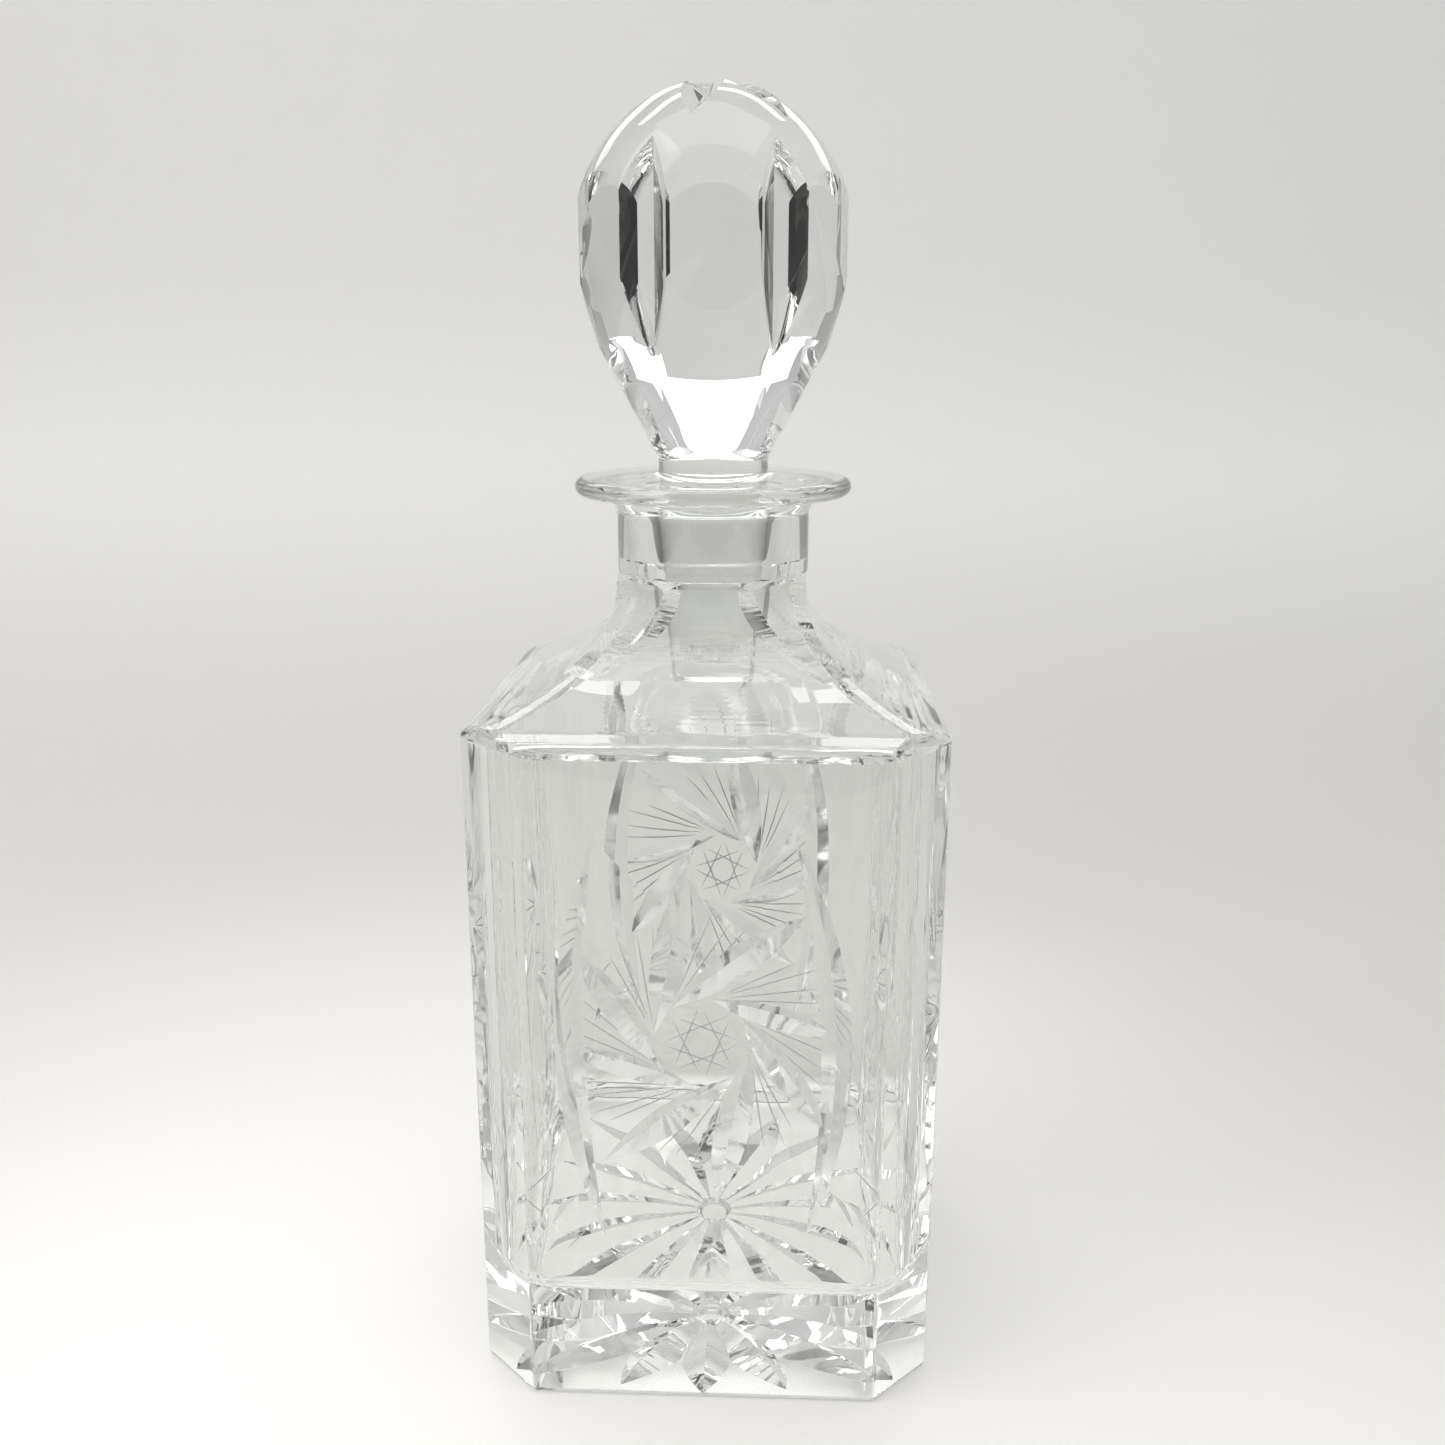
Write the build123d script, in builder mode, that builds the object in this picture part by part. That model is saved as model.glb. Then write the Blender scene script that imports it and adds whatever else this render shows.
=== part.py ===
from build123d import *
import math
import os

os.makedirs("parts", exist_ok=True)

# All sizes are in millimetres and degrees. Z is up, the base stands on Z = 0 and the
# neck's axis is Z. The four sides face along X and Y.

# Bottle: square body with cut corners
body_width = 92.0
corner_cut = 11.3
shoulder_height = 137.5
foot_bevel = 1.2

# Bottle: eight shoulder panels that sweep up to the neck
panel_top = 162.8
side_panel_slope = 20.0
side_panel_reach = 30.0
side_panel_neck = 18.9
side_panel_upright = 7.3
corner_panel_slope = 47.5
corner_panel_reach = 3.0
corner_panel_neck = 19.4
corner_panel_upright = 16.6

# Bottle: neck and lip
neck_radius = 19.4
ridge_fade = 5.0
ridge_fade_angle = 40.0
lip_top = 181.5
lip_radius = 27.8
lip_thickness = 3.4
lip_edge_flat = 0.1
lip_fillet = 4.0
mouth_radius = 13.4
mouth_depth = 5.5

# Bottle: hollow
wall = 5.5
floor_thickness = 21.0
shoulder_wall = 5.5
hollow_corner_radius = 11.0
hollow_floor_radius = 5.0
throat_bottom = 161.0
hollow_neck_radius = 13.6

# Stopper
ground_clearance = 0.15
plug_end_radius = 8.4
plug_top_radius = 10.9
plug_length = 45.5
plug_bevel = 0.8
collar_radius = 11.0
collar_height = 2.5
cone_foot_radius = 12.4
cone_foot_height = 6.5
ball_foot_radius = 22.4
ball_foot_height = 25.0
ball_radius = 27.0
ball_middle_height = 46.0
crown_radius = 18.4
crown_height = 65.5
stopper_height = 73.8

# Cuts. A wheel with a V edge leaves a pointed groove where its rim dips into the glass.
wheel_radius = 68.0
wheel_half_angle = 60.0
wheel_half_width = 9.0
pinwheel_height = 79.7
pinwheel_inner = 9.2
pinwheel_turn = 75.0
pinwheel_tips = [(34.4, 94.5), (32.5, 53.5), (27.0, 3.5), (31.0, -38.0)]

mitre_offset = 25.4
mitre_half_length = 42.0
mitre_bow_radius = 143.0
mitre_depth = 1.7

star_wheel_radius = 65.0
star_half_angle = 60.0
star_rays = 16
star_inner = 5.0
star_outer = 44.0
star_corner_outer = 53.0

oval_count = 6
oval_distance = 24.6
oval_turn = 3.0
groove_spine = 21.6
groove_half_angle = 51.0
crown_grooves = 6
crown_groove_turn = -10.0
crown_half_angle = 60.0
crown_groove_drop = 7.7
crown_groove_overrun = 5.0

# Lift that frees the stopper from the neck
lift_margin = 4.5

half_width = body_width / 2
corner_distance = (body_width - corner_cut) / math.sqrt(2)
reach = body_width
plug_end = lip_top - plug_length
plug_slope = (plug_top_radius - plug_end_radius) / (plug_length - mouth_depth)


def bezier_panel(edge, base, slope, length, neck, upright, top):
    """Outer side of a shoulder panel's profile, as a closed face to cut away."""
    rise_angle = math.radians(slope)
    rise = (edge - length * math.cos(rise_angle), base + length * math.sin(rise_angle))
    with BuildSketch(Plane.XZ) as profile:
        with BuildLine():
            Bezier((edge, base), rise, (neck, top - upright), (neck, top))
            Polyline((neck, top), (edge + reach, top), (edge + reach, base), (edge, base))
        make_face()
    return profile.sketch


def wheel(radius, half_angle):
    """Disc with a V edge, its axis along Y and the lowest point of its rim at the origin."""
    edge_depth = wheel_half_width / math.tan(math.radians(half_angle))
    with BuildPart() as disc:
        with BuildSketch(Plane.YZ) as section:
            with BuildLine():
                Polyline(
                    (0, 0),
                    (wheel_half_width, edge_depth),
                    (wheel_half_width, radius),
                    (-wheel_half_width, radius),
                    (-wheel_half_width, edge_depth),
                    close=True,
                )
            make_face()
        revolve(axis=Axis((0, 0, radius), (0, 1, 0)))
    return disc.part


def groove(face, start, end, radius):
    """Place of a wheel that cuts from one point of a flat face to another."""
    length = math.dist(start, end)
    depth = length**2 / (8 * radius)
    middle = ((start[0] + end[0]) / 2, (start[1] + end[1]) / 2, -depth)
    angle = math.degrees(math.atan2(end[1] - start[1], end[0] - start[0]))
    return face.location * Location(middle, (0, 0, angle))


def polar(radius, angle):
    return (radius * math.cos(math.radians(angle)), radius * math.sin(math.radians(angle)))


def side_face(turn):
    """Plane on one of the four sides, its origin at the middle of the pinwheel and Z outwards."""
    outwards = Vector(0, -1, 0).rotate(Axis.Z, turn)
    return Plane(
        origin=outwards * half_width + Vector(0, 0, pinwheel_height),
        x_dir=Vector(1, 0, 0).rotate(Axis.Z, turn),
        z_dir=outwards,
    )


quarter_turns = (0, 90, 180, 270)
sides = [side_face(turn) for turn in quarter_turns]

cutting_wheel = wheel(wheel_radius, wheel_half_angle)
star_wheel = wheel(star_wheel_radius, star_half_angle)

# Curved mitre: a V groove of even depth, on an arc whose centre is across the face
mitre_centre = mitre_bow_radius - mitre_offset
mitre_half_turn = math.degrees(math.asin(mitre_half_length / mitre_bow_radius))
mitre_out = (-math.cos(math.radians(mitre_half_turn)), math.sin(math.radians(mitre_half_turn)), 0)
mitre_start = Plane(
    origin=(mitre_centre, 0, 0),
    x_dir=mitre_out,
    z_dir=(mitre_out[1], -mitre_out[0], 0),
)
mitre_side = 2 * mitre_depth * math.tan(math.radians(wheel_half_angle))
with BuildPart() as mitre:
    with BuildSketch(mitre_start):
        with Locations((mitre_bow_radius, -mitre_depth)):
            Polygon((0, 0), (mitre_side, 2 * mitre_depth), (-mitre_side, 2 * mitre_depth), align=None)
    revolve(axis=Axis((mitre_centre, 0, 0), (0, 0, 1)), revolution_arc=2 * mitre_half_turn)

# The hollow: a square well with round corners that closes in to the throat of the neck
hollow_width = body_width - 2 * wall
throat_height = lip_top - mouth_depth
throat_radius = plug_top_radius + ground_clearance
throat_foot_radius = throat_radius - plug_slope * (throat_height - throat_bottom)
with BuildPart() as hollow:
    with BuildSketch(Plane.XY.offset(floor_thickness)):
        RectangleRounded(hollow_width, hollow_width, hollow_corner_radius)
    extrude(amount=throat_bottom - floor_thickness)
    fillet(hollow.faces().sort_by(Axis.Z)[0].edges(), hollow_floor_radius)
    for turn in quarter_turns:
        for edge, slope, length, upright, angle in (
            (half_width, side_panel_slope, side_panel_reach, side_panel_upright, turn),
            (corner_distance, corner_panel_slope, corner_panel_reach, corner_panel_upright, turn + 45),
        ):
            inner_shoulder = shoulder_height - shoulder_wall
            outside = bezier_panel(
                edge, inner_shoulder, slope, length, hollow_neck_radius, upright, throat_bottom
            )
            with Locations(Location((0, 0, 0), (0, 0, angle))):
                add(extrude(outside, amount=reach, both=True, mode=Mode.PRIVATE), mode=Mode.SUBTRACT)

with BuildPart() as bottle:
    with BuildSketch() as outline:
        Rectangle(body_width, body_width)
        chamfer(outline.vertices(), corner_cut)
    extrude(amount=panel_top)
    chamfer(bottle.faces().sort_by(Axis.Z)[0].edges(), foot_bevel)

    # The shoulder panels, under a cone that rounds their ridges off into the neck
    for turn in quarter_turns:
        for edge, slope, length, neck, upright, angle in (
            (half_width, side_panel_slope, side_panel_reach, side_panel_neck, side_panel_upright, turn),
            (corner_distance, corner_panel_slope, corner_panel_reach, corner_panel_neck,
             corner_panel_upright, turn + 45),
        ):
            outside = bezier_panel(edge, shoulder_height, slope, length, neck, upright, panel_top)
            with Locations(Location((0, 0, 0), (0, 0, angle))):
                add(extrude(outside, amount=reach, both=True, mode=Mode.PRIVATE), mode=Mode.SUBTRACT)
    fade_radius = neck_radius + ridge_fade * math.tan(math.radians(ridge_fade_angle))
    with BuildSketch(Plane.XZ):
        with BuildLine():
            Polyline(
                (0, 0), (reach, 0), (reach, panel_top - ridge_fade), (fade_radius, panel_top - ridge_fade),
                (neck_radius, panel_top), (0, panel_top),
                close=True,
            )
        make_face()
    revolve(axis=Axis.Z, mode=Mode.INTERSECT)

    # Round neck and flat lip
    lip_under = lip_top - lip_thickness
    lip_edge_radius = (lip_thickness - lip_edge_flat) / 2
    with BuildSketch(Plane.XZ):
        with BuildLine():
            FilletPolyline(
                (neck_radius, panel_top), (neck_radius, lip_under), (lip_radius, lip_under),
                (lip_radius, lip_top), (0, lip_top),
                radius=[lip_fillet, lip_edge_radius, lip_edge_radius],
            )
            Polyline((0, lip_top), (0, panel_top), (neck_radius, panel_top))
        make_face()
    revolve(axis=Axis.Z)

    # Ground throat, and the mouth that opens above it
    with BuildSketch(Plane.XZ):
        with BuildLine():
            Bezier(
                (throat_radius, throat_height),
                (throat_radius, throat_height + mouth_depth / 2),
                (mouth_radius, lip_top),
            )
            Polyline(
                (mouth_radius, lip_top), (0, lip_top), (0, throat_bottom),
                (throat_foot_radius, throat_bottom), (throat_radius, throat_height),
            )
        make_face()
    revolve(axis=Axis.Z, mode=Mode.SUBTRACT)
    add(hollow.part, mode=Mode.SUBTRACT)

    # Pinwheel and the two curved mitres beside it, on each side
    for side in sides:
        for half_turn in (0, 180):
            for radius, angle in pinwheel_tips:
                outer = polar(radius, angle + half_turn)
                inner = polar(pinwheel_inner, angle + half_turn + pinwheel_turn)
                with Locations(groove(side, inner, outer, wheel_radius)):
                    add(cutting_wheel, mode=Mode.SUBTRACT)
        for turn in (0, 180):
            with Locations(side.location * Location((0, 0, 0), (0, 0, turn))):
                add(mitre.part, mode=Mode.SUBTRACT)

    # Rayed star under the base, with longer rays to the corners
    underside = Plane(origin=(0, 0, 0), z_dir=(0, 0, -1))
    for ray in range(star_rays):
        angle = ray * 360 / star_rays
        outer = star_corner_outer if math.isclose(angle % 90, 45) else star_outer
        with Locations(groove(underside, polar(star_inner, angle), polar(outer, angle), star_wheel_radius)):
            add(star_wheel, mode=Mode.SUBTRACT)

bottle.part.label = "bottle"
export_step(bottle.part, "parts/bottle.step")

with BuildPart() as stopper:
    # Ground plug, collar, cone and ball
    cone_foot = (cone_foot_radius, lip_top + cone_foot_height)
    ball_foot = (ball_foot_radius, lip_top + ball_foot_height)
    with BuildSketch(Plane.XZ):
        with BuildLine():
            Polyline(
                (0, plug_end),
                (plug_end_radius - plug_bevel, plug_end),
                (plug_end_radius + plug_slope * plug_bevel, plug_end + plug_bevel),
                (plug_top_radius, throat_height),
                (collar_radius, lip_top + collar_height),
            )
            Bezier(
                (collar_radius, lip_top + collar_height),
                (collar_radius, lip_top + (collar_height + cone_foot_height) / 2),
                cone_foot,
            )
            Line(cone_foot, ball_foot)
            Spline(
                ball_foot,
                (ball_radius, lip_top + ball_middle_height),
                (crown_radius, lip_top + crown_height),
                (0, lip_top + stopper_height),
                tangents=[
                    (ball_foot_radius - cone_foot_radius, 2 * (ball_foot_height - cone_foot_height)),
                    (-1, 0),
                ],
            )
            Line((0, lip_top + stopper_height), (0, plug_end))
        make_face()
    revolve(axis=Axis.Z)

    # Flat ovals round the ball
    with Locations((0, 0, lip_top + ball_middle_height)):
        with PolarLocations(oval_distance, oval_count, start_angle=oval_turn - 90):
            Box(
                ball_radius, 2 * ball_radius, 2 * ball_radius,
                align=(Align.MIN, Align.CENTER, Align.CENTER), mode=Mode.SUBTRACT,
            )

    # Pointed grooves between the ovals
    groove_side = ball_radius * math.tan(math.radians(groove_half_angle))
    with BuildSketch(Plane.XY.offset(lip_top + ball_middle_height - ball_radius)):
        with PolarLocations(groove_spine, oval_count, start_angle=oval_turn - 90 + 180 / oval_count):
            Polygon((0, 0), (ball_radius, groove_side), (ball_radius, -groove_side), align=None)
    extrude(amount=2 * ball_radius, mode=Mode.SUBTRACT)

    # Star on the crown, whose grooves fall from its middle
    crown_side = ball_radius * math.tan(math.radians(crown_half_angle))
    crown_middle = lip_top + crown_height + crown_groove_drop
    for k in range(crown_grooves):
        turn = math.radians(crown_groove_turn - 90 + k * 360 / crown_grooves)
        fall = Vector(crown_radius * math.cos(turn), crown_radius * math.sin(turn), -crown_groove_drop)
        run = Plane(
            origin=Vector(0, 0, crown_middle) - fall.normalized() * crown_groove_overrun,
            x_dir=(-math.sin(turn), math.cos(turn), 0),
            z_dir=fall.normalized(),
        )
        with BuildSketch(run):
            Polygon((0, 0), (crown_side, ball_radius), (-crown_side, ball_radius), align=None)
        extrude(amount=2 * crown_radius, mode=Mode.SUBTRACT)

stopper.part.label = "stopper"
export_step(stopper.part, "parts/stopper.step")
print("stopper clears the lip after", plug_length + lift_margin, "mm")
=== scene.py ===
import bpy
import math
from mathutils import Matrix, Vector


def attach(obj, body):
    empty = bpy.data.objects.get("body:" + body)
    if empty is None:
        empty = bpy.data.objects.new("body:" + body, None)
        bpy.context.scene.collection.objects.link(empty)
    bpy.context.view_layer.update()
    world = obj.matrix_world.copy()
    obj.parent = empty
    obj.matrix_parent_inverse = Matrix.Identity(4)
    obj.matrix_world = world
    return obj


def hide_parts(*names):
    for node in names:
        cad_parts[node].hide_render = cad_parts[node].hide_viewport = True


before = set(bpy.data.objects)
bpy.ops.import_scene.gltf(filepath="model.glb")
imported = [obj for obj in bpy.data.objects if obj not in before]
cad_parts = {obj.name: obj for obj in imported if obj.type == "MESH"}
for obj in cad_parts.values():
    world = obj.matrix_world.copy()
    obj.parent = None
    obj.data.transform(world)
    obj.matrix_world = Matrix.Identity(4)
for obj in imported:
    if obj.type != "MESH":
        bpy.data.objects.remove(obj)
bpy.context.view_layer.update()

mm = 0.001


# Handling

def clearSelection():
    if bpy.context.object and bpy.context.object.mode != "OBJECT":
        bpy.ops.object.mode_set(mode="OBJECT")
    bpy.ops.object.select_all(action="DESELECT")


def pick(obj):
    clearSelection()
    obj.select_set(True)
    bpy.context.view_layer.objects.active = obj


def settle(obj):
    pick(obj)
    bpy.ops.object.transform_apply(location=True, rotation=True, scale=True)


def selectEdges(obj, wanted):
    pick(obj)
    bpy.ops.object.mode_set(mode="EDIT")
    bpy.ops.mesh.select_mode(type="EDGE")
    bpy.ops.mesh.select_all(action="DESELECT")
    bpy.ops.object.mode_set(mode="OBJECT")
    points = obj.data.vertices
    for edge in obj.data.edges:
        edge.select = wanted(points[edge.vertices[0]].co, points[edge.vertices[1]].co)
    bpy.ops.object.mode_set(mode="EDIT")


def applyModifier(obj, kind, **settings):
    pick(obj)
    modifier = obj.modifiers.new(kind.lower(), kind)
    for setting, value in settings.items():
        setattr(modifier, setting, value)
    bpy.ops.object.modifier_apply(modifier=modifier.name)


def weldMesh(obj, distance=0.00001):
    pick(obj)
    bpy.ops.object.mode_set(mode="EDIT")
    bpy.ops.mesh.select_all(action="SELECT")
    bpy.ops.mesh.remove_doubles(threshold=distance)
    bpy.ops.mesh.normals_make_consistent(inside=False)
    bpy.ops.object.mode_set(mode="OBJECT")


def splitFaces(obj):
    pick(obj)
    bpy.ops.object.mode_set(mode="EDIT")
    bpy.ops.mesh.select_all(action="SELECT")
    bpy.ops.mesh.quads_convert_to_tris(quad_method="BEAUTY", ngon_method="BEAUTY")
    bpy.ops.object.mode_set(mode="OBJECT")


def mergeLevel(obj):
    pick(obj)
    bpy.ops.object.mode_set(mode="EDIT")
    bpy.ops.mesh.select_all(action="SELECT")
    bpy.ops.mesh.dissolve_limited(angle_limit=math.radians(0.005), delimit={"MATERIAL"})
    bpy.ops.object.mode_set(mode="OBJECT")


def cut(obj, tool, operation="DIFFERENCE"):
    # the cut faces take the tool's material
    splitFaces(tool)
    applyModifier(obj, "BOOLEAN", operation=operation, object=tool, solver="EXACT", material_mode="TRANSFER")
    bpy.data.objects.remove(tool)


def copyTurned(obj, degrees):
    twin = obj.copy()
    twin.data = obj.data.copy()
    bpy.context.collection.objects.link(twin)
    twin.matrix_world = Matrix.Rotation(math.radians(degrees), 4, "Z") @ obj.matrix_world
    settle(twin)
    return twin


def drawOutline(name, knots, closed, steps=16):
    # knots lie in the XZ plane, in millimetres: place, handle before it, handle after it
    clearSelection()
    bpy.ops.curve.primitive_bezier_curve_add()
    curve = bpy.context.object
    curve.name = name
    curve.data.dimensions = "2D"
    curve.data.resolution_u = steps
    line = curve.data.splines[0]
    line.bezier_points.add(len(knots) - 2)
    for point, (place, before, after) in zip(line.bezier_points, knots):
        point.handle_left_type = "FREE" if before else "VECTOR"
        point.handle_right_type = "FREE" if after else "VECTOR"
        point.co = (place[0] * mm, place[1] * mm, 0)
        if before:
            point.handle_left = (before[0] * mm, before[1] * mm, 0)
        if after:
            point.handle_right = (after[0] * mm, after[1] * mm, 0)
    line.use_cyclic_u = closed
    curve.rotation_euler = (math.radians(90), 0, 0)
    return curve


def turnSolid(name, knots, finish, around=128, steps=12):
    # a solid turned round Z from its outline
    curve = drawOutline(name, knots, False, steps)
    pick(curve)
    bpy.ops.object.convert(target="MESH")
    settle(curve)
    applyModifier(curve, "SCREW", axis="Z", steps=around, render_steps=around, use_merge_vertices=True,
                  merge_threshold=0.00001, use_normal_calculate=True)
    weldMesh(curve)
    curve.data.materials.append(finish)
    return curve


def sweepSolid(name, knots, reach, finish, steps=40):
    # a solid with the outline's shape, running along Y to both sides
    curve = drawOutline(name, knots, True, steps)
    curve.data.extrude = reach * mm
    curve.data.fill_mode = "BOTH"
    pick(curve)
    bpy.ops.object.convert(target="MESH")
    settle(curve)
    weldMesh(curve)
    curve.data.materials.append(finish)
    return curve


def vBar(name, length, height, halfAngle, finish):
    # a bar along X whose V edge lies on the X axis and opens upwards
    clearSelection()
    bpy.ops.mesh.primitive_circle_add(vertices=3, radius=height / 1.5 * mm, fill_type="NGON",
                                      location=(0, 0, height / 1.5 * mm),
                                      rotation=(math.radians(-90), 0, math.radians(90)))
    bar = bpy.context.object
    bar.name = name
    settle(bar)
    bpy.ops.object.mode_set(mode="EDIT")
    bpy.ops.mesh.select_all(action="SELECT")
    widen = math.sqrt(3) * math.tan(math.radians(halfAngle))
    bpy.ops.transform.resize(value=(1, widen, 1), center_override=(0, 0, 0))
    bpy.ops.transform.translate(value=(-length / 2 * mm, 0, 0))
    bpy.ops.mesh.extrude_region_move(TRANSFORM_OT_translate={"value": (length * mm, 0, 0)})
    bpy.ops.mesh.select_all(action="SELECT")
    bpy.ops.mesh.normals_make_consistent(inside=False)
    bpy.ops.object.mode_set(mode="OBJECT")
    bar.data.materials.append(finish)
    return bar


def placeTool(tool, origin, along, outward):
    # X runs along the cut and Z points out of the glass
    x = Vector(along).normalized()
    z = Vector(outward)
    z = (z - x * z.dot(x)).normalized()
    y = z.cross(x)
    tool.matrix_world = Matrix.Translation(Vector(origin) * mm) @ Matrix((x, y, z)).transposed().to_4x4()
    settle(tool)


def joinTools(tools):
    clearSelection()
    for tool in tools:
        tool.select_set(True)
    bpy.context.view_layer.objects.active = tools[0]
    bpy.ops.object.join()
    return tools[0]


def engrave(name, strokes, halfAngle, height, finish, steps=20):
    # V strokes on a level face, in millimetres: start, middle, end and the depth in the middle
    clearSelection()
    bpy.ops.curve.primitive_bezier_circle_add()
    nib = bpy.context.object
    line = nib.data.splines[0]
    nib.data.splines.remove(line)
    line = nib.data.splines.new("POLY")
    line.points.add(2)
    side = height * math.tan(math.radians(halfAngle))
    for point, place in zip(line.points, ((0, 0), (side, height), (-side, height))):
        point.co = (place[0] * mm, place[1] * mm, 0, 1)
    line.use_cyclic_u = True
    clearSelection()
    bpy.ops.curve.primitive_bezier_curve_add()
    curve = bpy.context.object
    curve.name = name
    curve.data.splines.remove(curve.data.splines[0])
    curve.data.dimensions = "3D"
    curve.data.twist_mode = "Z_UP"
    curve.data.resolution_u = steps
    curve.data.bevel_mode = "OBJECT"
    curve.data.bevel_object = nib
    curve.data.use_fill_caps = True
    for start, middle, end, depth in strokes:
        ends = [Vector((p[0], p[1], 0.02)) for p in (start, end)]
        if middle is None:
            middle = ((start[0] + end[0]) / 2, (start[1] + end[1]) / 2)
        pull = 2 * Vector((middle[0], middle[1], -depth)) - (ends[0] + ends[1]) / 2
        line = curve.data.splines.new("BEZIER")
        line.bezier_points.add(1)
        for point, place in zip(line.bezier_points, ends):
            point.handle_left_type = point.handle_right_type = "FREE"
            point.co = place * mm
            point.handle_left = (place + (pull - place) * 2 / 3) * mm
            point.handle_right = (place + (pull - place) * 2 / 3) * mm
    pick(curve)
    bpy.ops.object.convert(target="MESH")
    bpy.data.objects.remove(nib)
    weldMesh(curve, 0.000002)
    curve.data.materials.append(finish)
    return curve


def toSide(tool, distance, height, turn):
    # from a level face to an upright side of the bottle
    face = Matrix.Translation((0, -distance * mm, height * mm)) @ Matrix.Rotation(math.radians(90), 4, "X")
    tool.matrix_world = Matrix.Rotation(math.radians(turn), 4, "Z") @ face
    settle(tool)


# Camera

cameraView = {"place": (0.01363, -0.2915, 0.2094), "turn": 2.29, "tilt": 74.79, "roll": 0.11, "lens": 35.71}


def addCamera(view):
    bpy.ops.object.camera_add(location=view["place"])
    camera = bpy.context.object
    turn, tilt, roll = (Matrix.Rotation(math.radians(view[way]), 4, axis)
                        for way, axis in (("turn", "Z"), ("tilt", "X"), ("roll", "Z")))
    camera.rotation_euler = (turn @ tilt @ roll).to_euler()
    camera.data.lens = view["lens"]
    camera.data.sensor_width = 36
    camera.data.clip_start = 0.01
    bpy.context.scene.camera = camera


clearSelection()
addCamera(cameraView)
print("camera placed")


# Finishes

def feed(tree, socket, value):
    if isinstance(value, bpy.types.NodeSocket):
        tree.links.new(value, socket)
    else:
        socket.default_value = value


def addNode(tree, kind, feeds):
    node = tree.nodes.new(kind)
    for socket, value in feeds.items():
        feed(tree, node.inputs[socket], value)
    return node


def addNoise(tree, vector, scale, detail):
    feeds = {"Vector": vector, "Scale": scale, "Detail": detail}
    return addNode(tree, "ShaderNodeTexNoise", feeds).outputs["Fac"]


def addBump(tree, height, strength, distance):
    feeds = {"Height": height, "Strength": strength, "Distance": distance}
    return addNode(tree, "ShaderNodeBump", feeds).outputs["Normal"]


def addRange(tree, value, start, end, low, high, smooth=False):
    feeds = {"Value": value, "From Min": start, "From Max": end, "To Min": low, "To Max": high}
    node = addNode(tree, "ShaderNodeMapRange", feeds)
    if smooth:
        node.interpolation_type = "SMOOTHSTEP"
    return node.outputs["Result"]


def addMath(tree, operation, values, clamp=False):
    node = tree.nodes.new("ShaderNodeMath")
    node.operation = operation
    node.use_clamp = clamp
    for socket, value in zip(node.inputs, values):
        feed(tree, socket, value)
    return node.outputs["Value"]


def addMix(tree, kind, share, first, second):
    node = tree.nodes.new("ShaderNodeMix")
    node.data_type = kind
    start, end, result = {"FLOAT": (2, 3, 0), "RGBA": (6, 7, 2)}[kind]
    for number, value in ((0, share), (start, first), (end, second)):
        feed(tree, node.inputs[number], value)
    return node.outputs[result]


def startCrystal(name, tint, clear):
    finish = bpy.data.materials.new(name)
    finish.use_nodes = True
    tree = finish.node_tree
    shader = tree.nodes["Principled BSDF"]
    shader.inputs["Base Color"].default_value = (*tint, 1)
    shader.inputs["Transmission Weight"].default_value = clear
    shader.inputs["IOR"].default_value = 1.54
    place = tree.nodes.new("ShaderNodeTexCoord").outputs["Object"]
    return finish, tree, shader, place


def polishedCrystal(name, tint, wave, haze, drawn=1.0):
    finish, tree, shader, place = startCrystal(name, tint, 1)
    # polishing leaves slow waves in the surface
    stretch = addNode(tree, "ShaderNodeMapping", {"Vector": place, "Scale": (1, 1, drawn)})
    waves = addNoise(tree, stretch.outputs["Vector"], 60, 1)
    feed(tree, shader.inputs["Normal"], addBump(tree, waves, wave, 0.0005))
    # faint handling haze
    film = addNoise(tree, place, 40, 4)
    feed(tree, shader.inputs["Roughness"], addRange(tree, film, 0.45, 0.8, haze * 0.2, haze))
    return finish


def groundCrystal(name, tint, clear, roughness, grain):
    finish, tree, shader, place = startCrystal(name, tint, clear)
    grit = addNoise(tree, place, grain, 3)
    feed(tree, shader.inputs["Roughness"], addRange(tree, grit, 0, 1, roughness * 0.7, roughness * 1.3))
    feed(tree, shader.inputs["Normal"], addBump(tree, grit, 0.25, 0.0001))
    return finish


crystalTint = (0.945, 0.955, 0.945)
bottleFinish = polishedCrystal("bottleCrystal", crystalTint, 0.04, 0.03)
insideFinish = polishedCrystal("blownInside", crystalTint, 0.6, 0.03, 0.3)
throatFinish = polishedCrystal("throatCrystal", crystalTint, 0.04, 0.1)
stopperFinish = polishedCrystal("stopperCrystal", crystalTint, 0.02, 0.03)
mitreFinish = groundCrystal("mitreCut", (0.98, 0.985, 0.98), 0.94, 0.07, 300)
lineFinish = groundCrystal("frostedLine", (1.0, 1.0, 0.99), 0.12, 0.4, 1500)
buttonFinish = groundCrystal("groundButton", (1.0, 1.0, 0.99), 0.9, 0.12, 900)
plugFinish = groundCrystal("groundPlug", (0.97, 0.97, 0.965), 0.97, 0.14, 1200)
print("finishes made")


# Bottle

bottleSizes = {
    "width": 92.0, "cornerCut": 11.3, "cornerRound": 0.5, "footBevel": 1.2,
    "shoulder": 137.5, "edgeRound": 1.7, "panelTop": 162.8, "reach": 60,
    "sidePanel": {"slope": 20.0, "run": 30.0, "neck": 18.9, "upright": 7.3},
    "cornerPanel": {"slope": 47.5, "run": 3.0, "neck": 19.4, "upright": 16.6},
    "neckFoot": 152.0, "neckRoot": 16.0, "neckRadius": 19.4, "ridgeFade": 5.0, "fadeRadius": 23.6,
    "lipTop": 181.5, "lipUnder": 178.1, "lipRadius": 27.8, "lipRound": 1.65, "lipFillet": 4.0,
}


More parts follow.
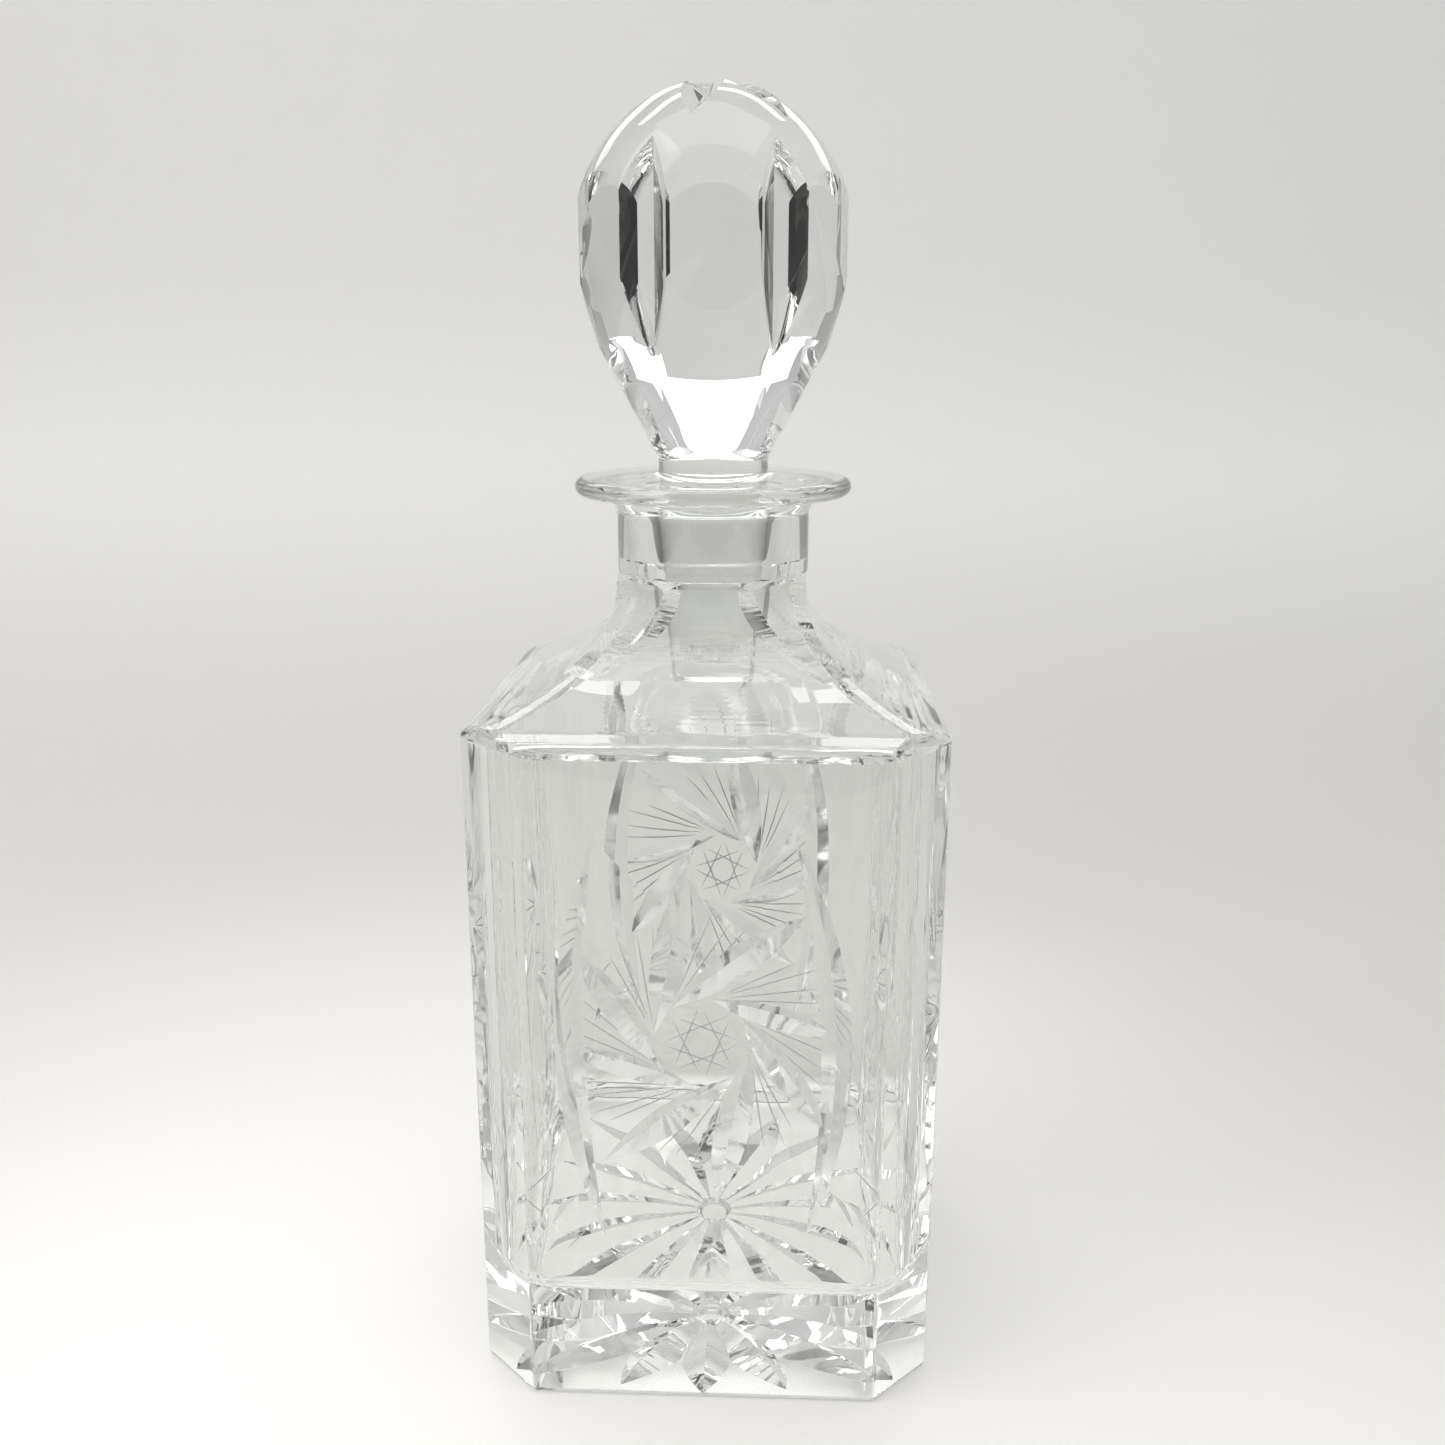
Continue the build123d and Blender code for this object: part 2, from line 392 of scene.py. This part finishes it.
def panelOutline(edge, base, panel, neck, top, reach, edgeRound):
    slope = math.radians(panel["slope"])
    out = Vector((-math.cos(slope), math.sin(slope)))
    # the edge stands a hair clear of the face, so the two never lie in one plane
    corner = Vector((edge + 0.003, base))
    rise = corner + out * max(panel["run"], edgeRound + 2)
    foot = corner - Vector((0, edgeRound))
    turned = corner + out * edgeRound
    return [
        (foot, None, foot + Vector((0, edgeRound * 0.6))),
        (turned, turned - out * edgeRound * 0.6, rise),
        ((neck, top), (neck, top - panel["upright"]), None),
        ((neck, top + 15), None, None),
        ((edge + reach, top + 15), None, None),
        ((edge + reach, base - edgeRound), None, None),
    ]


def cutPanels(obj, sizes, base, sideEdge, cornerEdge, necks, top, edgeRound, finish):
    plan = (("sidePanel", sideEdge, necks[0], 0), ("cornerPanel", cornerEdge, necks[1], 45))
    for panel, edge, neck, turn in plan:
        outline = panelOutline(edge, base, sizes[panel], neck, top, sizes["reach"], edgeRound)
        first = sweepSolid(panel, outline, sizes["reach"], finish)
        tools = [copyTurned(first, turn + quarter * 90) for quarter in range(4)]
        bpy.data.objects.remove(first)
        for tool in tools:
            cut(obj, tool)


def makeBody(sizes, cuts, finish, button):
    clearSelection()
    tall = sizes["panelTop"]
    bpy.ops.mesh.primitive_cube_add(size=1, location=(0, 0, tall / 2 * mm))
    body = bpy.context.object
    body.name = "crystalBottle"
    body.scale = (sizes["width"] * mm, sizes["width"] * mm, tall * mm)
    settle(body)
    body.data.materials.append(finish)
    for offset, segments in ((sizes["cornerCut"], 1), (sizes["cornerRound"], 3)):
        selectEdges(body, lambda a, b: abs(a.x - b.x) < 1e-6 and abs(a.y - b.y) < 1e-6)
        bpy.ops.mesh.bevel(offset=offset * mm, segments=segments, affect="EDGES")
        bpy.ops.object.mode_set(mode="OBJECT")
    selectEdges(body, lambda a, b: a.z < 1e-6 and b.z < 1e-6)
    bpy.ops.mesh.bevel(offset=sizes["footBevel"] * mm, segments=2, affect="EDGES", clamp_overlap=False)
    bpy.ops.object.mode_set(mode="OBJECT")
    carveBase(body, cuts, finish, button)
    half = sizes["width"] / 2
    necks = (sizes["sidePanel"]["neck"], sizes["cornerPanel"]["neck"])
    cutPanels(body, sizes, sizes["shoulder"], half, (sizes["width"] - sizes["cornerCut"]) / math.sqrt(2),
              necks, sizes["panelTop"], sizes["edgeRound"], finish)
    # the ridges fade into the round neck
    low = sizes["panelTop"] - sizes["ridgeFade"]
    fade = turnSolid("ridgeFade", [
        ((0, -5), None, None), ((90, -5), None, None), ((90, low), None, None),
        ((sizes["fadeRadius"], low), None, None),
        ((sizes["neckRadius"], sizes["panelTop"] + 0.02), None, None),
        ((0, sizes["panelTop"] + 0.02), None, None)], finish)
    cut(body, fade, "INTERSECT")
    return body


def addNeck(body, sizes, finish):
    r, lip, under, top = sizes["neckRadius"], sizes["lipRadius"], sizes["lipUnder"], sizes["lipTop"]
    fillet, rim = sizes["lipFillet"], sizes["lipRound"]
    middle = (under + top) / 2
    neck = turnSolid("neckAndLip", [
        ((0, sizes["neckFoot"]), None, None), ((sizes["neckRoot"], sizes["neckFoot"]), None, None),
        ((sizes["neckRoot"], sizes["panelTop"] - 0.7), None, None),
        ((r, sizes["panelTop"] + 0.2), None, None),
        ((r, under - fillet), None, (r, under - fillet * 0.45)),
        ((r + fillet, under), (r + fillet * 0.45, under), None),
        ((lip - rim, under), None, (lip - rim * 0.45, under)),
        ((lip, middle), (lip, middle - rim * 0.55), (lip, middle + rim * 0.55)),
        ((lip - rim, top), (lip - rim * 0.45, top), None),
        ((0, top), None, None)], finish)
    cut(body, neck, "UNION")


hollowSizes = {
    "wall": 5.5, "floor": 21.0, "cornerRound": 11.0, "floorRound": 5.0, "shoulderWall": 5.5,
    "top": 161.0, "neck": 13.6, "shoulderRound": 5.0,
    "throatStart": 151.0, "throatFoot": 9.36, "throatTop": 11.05, "throatHeight": 176.0, "mouth": 13.4,
}


def makeHollow(bottle, sizes, finish, ground):
    clearSelection()
    low, high = sizes["floor"], sizes["top"]
    bpy.ops.mesh.primitive_cube_add(size=1, location=(0, 0, (low + high) / 2 * mm))
    hollow = bpy.context.object
    hollow.name = "hollow"
    wide = bottle["width"] - 2 * sizes["wall"]
    hollow.scale = (wide * mm, wide * mm, (high - low) * mm)
    settle(hollow)
    hollow.data.materials.append(finish)
    selectEdges(hollow, lambda a, b: abs(a.x - b.x) < 1e-6 and abs(a.y - b.y) < 1e-6)
    bpy.ops.mesh.bevel(offset=sizes["cornerRound"] * mm, segments=12, affect="EDGES")
    bpy.ops.object.mode_set(mode="OBJECT")
    selectEdges(hollow, lambda a, b: a.z < low * mm + 1e-6 and b.z < low * mm + 1e-6)
    bpy.ops.mesh.bevel(offset=sizes["floorRound"] * mm, segments=6, affect="EDGES", clamp_overlap=False)
    bpy.ops.object.mode_set(mode="OBJECT")
    half = bottle["width"] / 2
    cutPanels(hollow, bottle, bottle["shoulder"] - sizes["shoulderWall"], half,
              (bottle["width"] - bottle["cornerCut"]) / math.sqrt(2), (sizes["neck"], sizes["neck"]),
              high, sizes["shoulderRound"], finish)
    narrow, tall = sizes["throatTop"], sizes["throatHeight"]
    throat = turnSolid("throat", [
        ((0, sizes["throatStart"]), None, None), ((sizes["throatFoot"], sizes["throatStart"]), None, None),
        ((narrow, tall), None, (narrow, tall + 1.8)),
        ((sizes["mouth"], bottle["lipTop"]), (narrow + 0.6, tall + 3.4), None),
        ((sizes["mouth"] + 1.4, bottle["lipTop"] + 1.5), None, None),
        ((0, bottle["lipTop"] + 1.5), None, None)], ground)
    cut(hollow, throat, "UNION")
    return hollow


cutSizes = {
    "centreHeight": 79.7, "vAngle": 52.0, "deepNib": 3.3,
    "fineAngle": 58.0, "fineDepth": 0.11, "fineNib": 0.6,
    "bladeTips": [(34.4, 94.5), (32.5, 53.5), (27.0, 3.5), (31.0, -38.0)],
    "bladeInner": 9.2, "bladeTurn": 75.0, "bladeDepth": 2.5, "bladeLength": 32.0, "bladeTaper": 1.5,
    "mitres": [((-20.0, 120.5), (-25.2, 78.6), (-18.8, 36.7)), ((17.0, 121.0), (25.5, 80.0), (20.0, 37.0))],
    "mitreDepth": 2.3,
    "leaves": [((-29.6, 39.1), (-23.9, 46.5)), ((-35.2, 34.2), (-30.8, 41.6)),
               ((24.5, 48.5), (29.6, 40.0)), ((27.3, 46.8), (34.7, 36.5))],
    "leafDepth": 1.2,
    "corners": [((-28.4, 52.9), (-35.2, 45.7)), ((-35.2, 45.7), (-30.8, 41.3)),
                ((-22.0, 39.6), (-27.1, 33.6)),
                ((28.4, 54.5), (35.0, 47.1)), ((35.0, 47.1), (31.2, 42.7))],
    "centreStar": 8.1, "centreStarTurn": 92,
    "fanTurns": (15, 23, 31, 39), "fanOuters": (27.0, 26.5, 28.5, 26.0), "fanStart": 1.5,
    "rays": 16, "rayInner": 1.6, "rayOuter": 44.0, "rayCorner": 53.0,
    "rayWidth": 10.6, "rayAngle": 62.0, "rayNib": 4.5,
    "rayDrift": (0.0, 0.2, 0.1, -0.15), "buttonTurn": 1.3,
    "buttonRadius": 4.4, "buttonDepth": 2.6,
}


def around(radius, degrees):
    return Vector((radius * math.cos(math.radians(degrees)), radius * math.sin(math.radians(degrees))))


def keepQuarter(body):
    # one side of the bottle, closed along the two diagonal planes
    pick(body)
    bpy.ops.object.mode_set(mode="EDIT")
    for normal in ((1, 1, 0), (-1, 1, 0)):
        bpy.ops.mesh.select_all(action="SELECT")
        bpy.ops.mesh.bisect(plane_co=(0, 0, 0), plane_no=normal, clear_outer=True, use_fill=True,
                            threshold=0.000002)
    bpy.ops.object.mode_set(mode="OBJECT")


def joinQuarters(quarter):
    # the closing faces go, and three turned copies are welded on
    pick(quarter)
    bpy.ops.object.mode_set(mode="EDIT")
    bpy.ops.mesh.select_mode(type="FACE")
    bpy.ops.mesh.select_all(action="DESELECT")
    bpy.ops.object.mode_set(mode="OBJECT")
    points = quarter.data.vertices
    for face in quarter.data.polygons:
        face.select = all(abs(abs(points[i].co.x) - abs(points[i].co.y)) < 2e-6 for i in face.vertices) \
            and abs(face.normal.z) < 0.01
    bpy.ops.object.mode_set(mode="EDIT")
    bpy.ops.mesh.delete(type="FACE")
    bpy.ops.object.mode_set(mode="OBJECT")
    turned = [copyTurned(quarter, degrees) for degrees in (90, 180, 270)]
    joinTools([quarter] + turned)
    weldMesh(quarter, 0.00001)


def carveSide(body, bottle, sizes, polished, frosted):
    middle = Vector((0, sizes["centreHeight"]))
    groups = [[], [], [], [], []]
    blades = [(radius, angle + half) for half in (0, 180) for radius, angle in sizes["bladeTips"]]
    for number, (radius, angle) in enumerate(blades):
        outer = around(radius, angle)
        inner = around(sizes["bladeInner"], angle + sizes["bladeTurn"])
        depth = sizes["bladeDepth"] * ((outer - inner).length / sizes["bladeLength"]) ** sizes["bladeTaper"]
        groups[number % 2].append((inner, None, outer, depth))
    for start, bow, end in sizes["mitres"]:
        start, bow, end = (Vector(point) - middle for point in (start, bow, end))
        groups[2].append((start, bow, end, sizes["mitreDepth"]))
    for number, (a, b) in enumerate(sizes["leaves"]):
        groups[3 + number % 2].append((Vector(a) - middle, None, Vector(b) - middle, sizes["leafDepth"]))
    for strokes in groups:
        tool = engrave("deepCuts", strokes, sizes["vAngle"], sizes["deepNib"], polished)
        toSide(tool, bottle["width"] / 2, sizes["centreHeight"], 0)
        cut(body, tool)
    groups = [[], [], [], []]
    for corner in range(8):
        turn = sizes["centreStarTurn"] + corner * 45
        start, end = (around(sizes["centreStar"], turn + step) for step in (0, 135))
        groups[corner % 4].append((start, None, end))
    for number, (a, b) in enumerate(sizes["corners"]):
        groups[number % 2].append((Vector(a) - middle, None, Vector(b) - middle))
    for _, angle in blades:
        tip = around(sizes["bladeInner"], angle + sizes["bladeTurn"])
        for number, (turn, radius) in enumerate(zip(sizes["fanTurns"], sizes["fanOuters"])):
            outer = around(radius, angle + turn)
            groups[number].append((tip + (outer - tip).normalized() * sizes["fanStart"], None, outer))
    for strokes in groups:
        strokes = [stroke + (sizes["fineDepth"],) for stroke in strokes]
        tool = engrave("fineCuts", strokes, sizes["fineAngle"], sizes["fineNib"], frosted, steps=6)
        toSide(tool, bottle["width"] / 2, sizes["centreHeight"], 0)
        cut(body, tool)


def carveBase(body, sizes, polished, ground):
    depth = sizes["rayWidth"] / 2 / math.tan(math.radians(sizes["rayAngle"]))
    half = sizes["rays"] // 2
    for first in range(half):
        rays = []
        for ray in (first, first + half):
            place = ray * 360 / sizes["rays"]
            outer = sizes["rayCorner"] if abs(place % 90 - 45) < 1 else sizes["rayOuter"]
            turn = place + sizes["rayDrift"][ray % 4]
            rays.append((around(sizes["rayInner"], turn), None, around(outer, turn), depth))
        tool = engrave("baseStar", rays, sizes["rayAngle"], sizes["rayNib"], polished)
        tool.matrix_world = Matrix.Rotation(math.radians(180), 4, "X")
        settle(tool)
        splitFaces(body)
        cut(body, tool)
    # a shallow ground dish where the rays meet
    r, deep = sizes["buttonRadius"], sizes["buttonDepth"]
    dish = turnSolid("dish", [
        ((0, -3), None, None), ((r * 1.2, -3), None, None),
        ((r, 0), None, (r * 0.9, deep * 0.6)), ((0, deep), (r * 0.5, deep), None)],
        ground, around=48, steps=8)
    dish.rotation_euler = (0, 0, math.radians(sizes["buttonTurn"]))
    settle(dish)
    splitFaces(body)
    cut(body, dish)
    mergeLevel(body)


bottle = makeBody(bottleSizes, cutSizes, bottleFinish, buttonFinish)
addNeck(bottle, bottleSizes, bottleFinish)
print("bottle body shaped", len(bottle.data.polygons))
keepQuarter(bottle)
carveSide(bottle, bottleSizes, cutSizes, mitreFinish, lineFinish)
joinQuarters(bottle)
print("bottle cut", len(bottle.data.polygons))
hollow = makeHollow(bottleSizes, hollowSizes, insideFinish, throatFinish)
cut(bottle, hollow)
pick(bottle)
bpy.ops.object.shade_smooth_by_angle(angle=math.radians(22))
print("bottle hollowed", len(bottle.data.polygons))


# Stopper

stopperSizes = {
    "plugEnd": 136.0, "plugEndRadius": 8.4, "plugTopRadius": 10.9, "plugTop": 176.0,
    "groundLow": 161.0, "groundHigh": 172.5,
    "headOutline": [
        ((11.0, 184.0), None, (11.0, 186.0)),
        ((12.4, 188.0), (11.6, 186.5), None),
        ((22.4, 206.5), None, (24.7, 213.74)),
        ((27.0, 227.5), (27.0, 220.0), (27.0, 235.0)),
        ((18.4, 247.0), (22.9, 242.6), (13.2, 252.0)),
        ((0, 255.3), (8.5, 255.3), None)],
    "ovals": 6, "ovalDistance": 24.6, "ovalTurn": 3.0, "middleHeight": 227.5,
    "grooveSpine": 21.6, "grooveAngle": 51.0,
    "crownGrooves": 6, "crownTurn": -10.0, "crownHeight": 254.7, "crownRadius": 18.4, "crownDrop": 7.7,
    "crownAngle": 60.0,
}


def makeStopper(sizes, finish, ground):
    end, top, rim = sizes["plugEnd"], sizes["plugTop"], sizes["plugEndRadius"]
    spread = (sizes["plugTopRadius"] - rim) / (top - end)
    stopper = turnSolid("crystalStopper", [
        ((0, end), None, None),
        ((rim - 0.8, end), None, (rim - 0.3, end)),
        ((rim + 0.05, end + 0.8), (rim, end + 0.3), None),
        ((rim + spread * (sizes["groundLow"] - end), sizes["groundLow"]), None, None),
        ((rim + spread * (sizes["groundHigh"] - end), sizes["groundHigh"]), None, None),
        ((sizes["plugTopRadius"], top), None, None),
        *sizes["headOutline"]], finish, around=160, steps=16)
    stopper.data.materials.append(ground)
    for face in stopper.data.polygons:
        if sizes["groundLow"] * mm < face.center.z < sizes["groundHigh"] * mm:
            face.material_index = 1
    middle = sizes["middleHeight"]
    for k in range(sizes["ovals"]):
        turn = math.radians(sizes["ovalTurn"] - 90 + k * 360 / sizes["ovals"])
        out = Vector((math.cos(turn), math.sin(turn), 0))
        clearSelection()
        bpy.ops.mesh.primitive_cube_add(size=1)
        slab = bpy.context.object
        slab.scale = (60 * mm, 60 * mm, 20 * mm)
        settle(slab)
        slab.data.materials.append(finish)
        placeTool(slab, Vector((0, 0, middle)) + out * (sizes["ovalDistance"] + 10), (0, 0, 1), out)
        cut(stopper, slab)
    bars = []
    for k in range(sizes["ovals"]):
        turn = math.radians(sizes["ovalTurn"] - 90 + (k + 0.5) * 360 / sizes["ovals"])
        out = Vector((math.cos(turn), math.sin(turn), 0))
        bar = vBar("sideGroove", 56, 7, sizes["grooveAngle"], finish)
        placeTool(bar, Vector((0, 0, middle)) + out * sizes["grooveSpine"], (0, 0, 1), out)
        bars.append(bar)
    cut(stopper, joinTools(bars))
    for k in range(sizes["crownGrooves"]):
        turn = math.radians(sizes["crownTurn"] - 90 + k * 360 / sizes["crownGrooves"])
        out = Vector((math.cos(turn), math.sin(turn), 0))
        fall = out * sizes["crownRadius"] - Vector((0, 0, sizes["crownDrop"]))
        bar = vBar("crownGroove", 40, 14, sizes["crownAngle"], finish)
        placeTool(bar, Vector((0, 0, sizes["crownHeight"])) + fall.normalized() * 15, fall, (0, 0, 1))
        cut(stopper, bar)
    pick(stopper)
    bpy.ops.object.shade_smooth_by_angle(angle=math.radians(22))
    return stopper


stopper = makeStopper(stopperSizes, stopperFinish, plugFinish)
print("stopper made", len(stopper.data.polygons))

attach(bottle, "bottle")
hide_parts("bottle")
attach(stopper, "stopper")
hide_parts("stopper")


# Stage

stageLook = {
    "floorColour": (0.87, 0.86, 0.835), "wallColour": (0.88, 0.88, 0.87),
    "width": 1.1, "front": -0.5, "wallPlace": 0.42, "wallHeight": 0.42, "bend": 0.24, "floorGap": 0.0002,
    "wallRise": 0.16, "wallLift": 0.3, "throughShare": 0.85,
    # painted caustic light on the paper under the glass
    "causticGlowUnder": 0.74, "causticGlowRing": (0.045, 0.075),
    # a painted pool of light on the paper round the foot, seen by the eye only
    "footGlowStrength": 0.4, "footGlowCentre": (-0.05, -0.07, 0), "footGlowReach": 0.36,
    "skyTop": 0.62, "skySide": 0.36, "roomFront": 0.04, "skyRise": (0.3, 0.8), "roomDepth": (-0.1, 0.7),
    "seenSky": 0.72,
}


def sweepPaper(look):
    finish = bpy.data.materials.new("sweepPaper")
    finish.use_nodes = True
    tree = finish.node_tree
    shader = tree.nodes["Principled BSDF"]
    shader.inputs["Roughness"].default_value = 0.9
    floorColour, wallColour = (*look["floorColour"], 1), (*look["wallColour"], 1)
    place = tree.nodes.new("ShaderNodeTexCoord").outputs["Object"]
    # the wall has its own grey
    height = addNode(tree, "ShaderNodeSeparateXYZ", {"Vector": place}).outputs["Z"]
    rise = addRange(tree, height, 0, look["wallRise"], 0, 1, smooth=True)
    feed(tree, shader.inputs["Base Color"], addMix(tree, "RGBA", rise, floorColour, wallColour))
    tooth = addNoise(tree, place, 900, 2)
    feed(tree, shader.inputs["Normal"], addBump(tree, tooth, 0.05, 0.0002))
    # painted caustic light: the paper under the glass glows to rays seen through it, and lights nothing more
    path = tree.nodes.new("ShaderNodeLightPath").outputs
    ring = tree.nodes.new("ShaderNodeVectorMath")
    ring.operation = "LENGTH"
    feed(tree, ring.inputs[0], place)
    under = addRange(tree, ring.outputs["Value"], *look["causticGlowRing"], look["causticGlowUnder"], 0, smooth=True)
    causticGlowSeenThrough = addMath(tree, "MULTIPLY", (path["Is Transmission Ray"], under))
    # and a painted pool of light round its foot glows to the eye only
    foot = tree.nodes.new("ShaderNodeVectorMath")
    foot.operation = "DISTANCE"
    feed(tree, foot.inputs[0], place)
    feed(tree, foot.inputs[1], look["footGlowCentre"])
    paintedFootGlow = addRange(tree, foot.outputs["Value"], 0, look["footGlowReach"], look["footGlowStrength"], 0, smooth=True)
    paintedFloorGlow = addMath(tree, "MULTIPLY_ADD", (path["Is Camera Ray"], paintedFootGlow, causticGlowSeenThrough))
    # the wall behind is pale to the eye, and nearly so in and through the glass
    glass = addMath(tree, "MAXIMUM", (path["Is Transmission Ray"], path["Is Glossy Ray"]))
    eyes = addMath(tree, "MULTIPLY_ADD", (glass, look["throughShare"], path["Is Camera Ray"]), clamp=True)
    upper = addMath(tree, "MULTIPLY", (rise, look["wallLift"]))
    # the emission adds the pale wall, the painted caustic light under the glass and the painted pool of
    # light round the foot
    feed(tree, shader.inputs["Emission Color"], floorColour)
    feed(tree, shader.inputs["Emission Strength"], addMath(tree, "MULTIPLY_ADD", (eyes, upper, paintedFloorGlow)))
    return finish


def addStage(look):
    clearSelection()
    bpy.ops.mesh.primitive_plane_add(size=1, location=(0, 0, 0))
    floor = bpy.context.object
    floor.name = "studioSweep"
    floor.scale = (look["width"], look["wallPlace"] - look["front"], 1)
    floor.location = (0, (look["wallPlace"] + look["front"]) / 2, -look["floorGap"])
    settle(floor)
    wall = look["wallPlace"] - 0.01
    selectEdges(floor, lambda a, b: a.y > wall and b.y > wall)
    bpy.ops.mesh.extrude_region_move(TRANSFORM_OT_translate={"value": (0, 0, look["wallHeight"])})
    bpy.ops.object.mode_set(mode="OBJECT")
    selectEdges(floor, lambda a, b: abs(a.y - b.y) < 1e-6 and a.z < 0.01 and b.z < 0.01 and a.y > wall)
    bpy.ops.mesh.bevel(offset=look["bend"], segments=24, affect="EDGES")
    bpy.ops.object.mode_set(mode="OBJECT")
    pick(floor)
    bpy.ops.object.shade_smooth()
    floor.data.materials.append(sweepPaper(look))


def addSoftbox(name, place, aim, size, power, colour=(1, 1, 1)):
    clearSelection()
    bpy.ops.object.light_add(type="AREA", location=place)
    lamp = bpy.context.object
    lamp.name = name
    lamp.data.shape = "RECTANGLE"
    lamp.data.size = size[0]
    lamp.data.size_y = size[1]
    lamp.data.energy = power
    lamp.data.color = colour
    lamp.rotation_euler = (Vector(aim) - Vector(place)).to_track_quat("-Z", "Y").to_euler()


def addWorld(look):
    # a pale ceiling, greyer walls, and a dim room in front of the table
    world = bpy.data.worlds.new("studio")
    bpy.context.scene.world = world
    world.use_nodes = True
    tree = world.node_tree
    sky = tree.nodes["Background"]
    place = tree.nodes.new("ShaderNodeTexCoord").outputs["Generated"]
    split = addNode(tree, "ShaderNodeSeparateXYZ", {"Vector": place}).outputs
    rise = addRange(tree, split["Z"], *look["skyRise"], 0, 1, smooth=True)
    side = addRange(tree, split["Y"], *look["roomDepth"], look["roomFront"], look["skySide"], smooth=True)
    level = addMix(tree, "FLOAT", rise, side, look["skyTop"])
    # the eye sees a plain pale room
    eye = tree.nodes.new("ShaderNodeLightPath").outputs["Is Camera Ray"]
    feed(tree, sky.inputs["Strength"], addMix(tree, "FLOAT", eye, level, look["seenSky"]))
    sky.inputs["Color"].default_value = (1, 1, 1, 1)


softboxes = {
    "topSoftbox": {"place": (0, -0.05, 1.1), "aim": (0, -0.05, 0.1), "size": (1.0, 0.6), "power": 2.1},
    "rearSoftbox": {"place": (0, 0.95, 0.85), "aim": (0, 0, 0.2), "size": (1.9, 0.25), "power": 3.2},
    "leftSoftbox": {"place": (-0.75, -0.25, 0.95), "aim": (0, 0, 0.12), "size": (0.7, 0.8), "power": 2.8,
                    "colour": (1, 0.98, 0.94)},
    "ceilingTube": {"place": (-0.05, 0.54, 1.05), "aim": (0, 0, 0.15), "size": (1.1, 0.1), "power": 1.4},
}

addStage(stageLook)
addWorld(stageLook)
for name, box in softboxes.items():
    addSoftbox(name, **box)
print("stage lit")

scene = bpy.context.scene
scene.view_settings.view_transform = "Standard"
scene.cycles.max_bounces = 40
scene.cycles.transmission_bounces = 40
scene.cycles.glossy_bounces = 24
scene.cycles.transparent_max_bounces = 24
